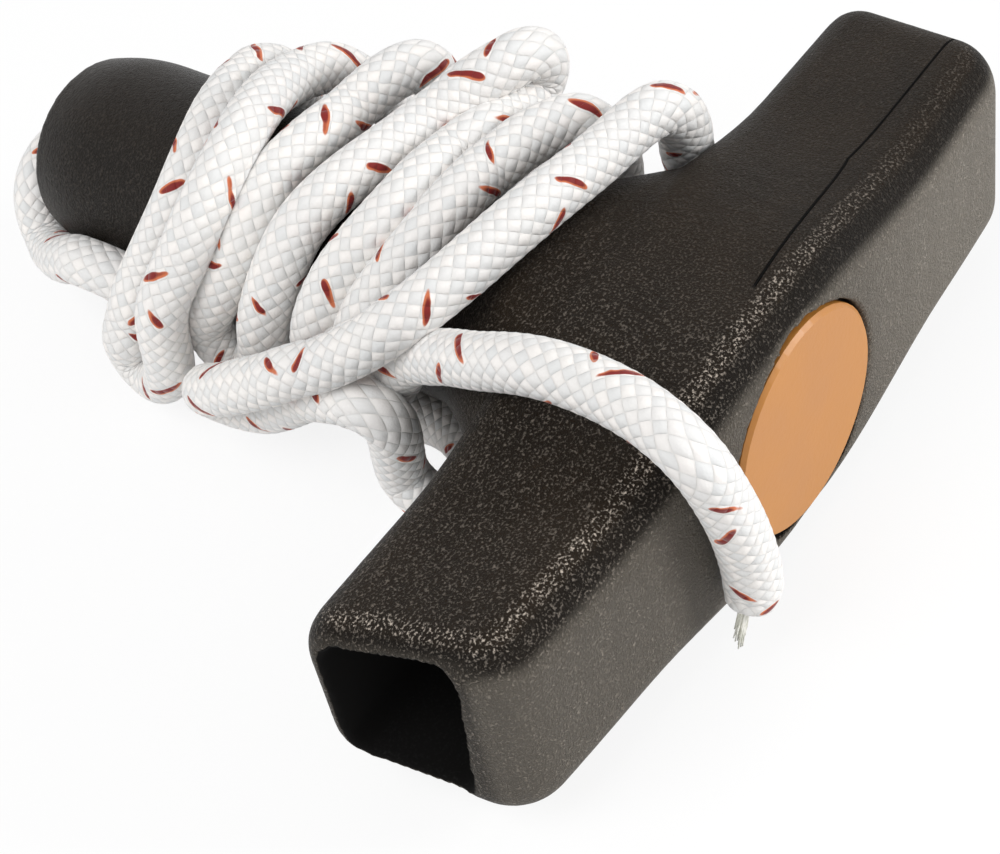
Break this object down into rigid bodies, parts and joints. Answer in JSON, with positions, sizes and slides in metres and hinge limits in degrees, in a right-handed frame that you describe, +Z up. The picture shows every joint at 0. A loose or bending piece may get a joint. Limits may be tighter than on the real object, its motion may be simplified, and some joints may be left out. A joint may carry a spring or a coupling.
{
  "type": "recoil starter handle",
  "caption": "Moulded T-shaped pull handle with a round stem and closing cap, a sprung rope anchor inside, and its braided rope wound over the stem.",
  "frame": {"origin": "middle of the handle's bounding box in plan, on the floor that it lies on, without the rope", "axes": "+X along the grip bar, +Y along the stem from the cap to the nose, +Z up from the floor"},
  "size_m": [0.0912, 0.1002, 0.0329],
  "materials": {
    "black_plastic": "fine spark-eroded grain, matt",
    "orange_plastic": "smooth satin",
    "anchor_plastic": "natural nylon",
    "spring_steel": "bright drawn wire",
    "braided_rope": "white braid with red-orange marker flecks"
  },
  "bodies": {
    "grip": {"grip_body": "black_plastic", "cap": "orange_plastic", "damper_spring": "spring_steel", "rope_lead": "braided_rope", "rope_hank": "braided_rope", "rope_tail": "braided_rope"},
    "plunger": {"rope_anchor": "anchor_plastic", "rope_knot": "braided_rope", "rope_core": "braided_rope"}
  },
  "joints": [
    {"name": "damper_slide", "type": "slide", "parent": "grip", "child": "plunger", "axis": [0, 1, 0], "range_m": [0, 0.01], "stiffness_N_per_m": 2500, "deforming": ["damper_spring", "rope_lead"]}
  ]
}
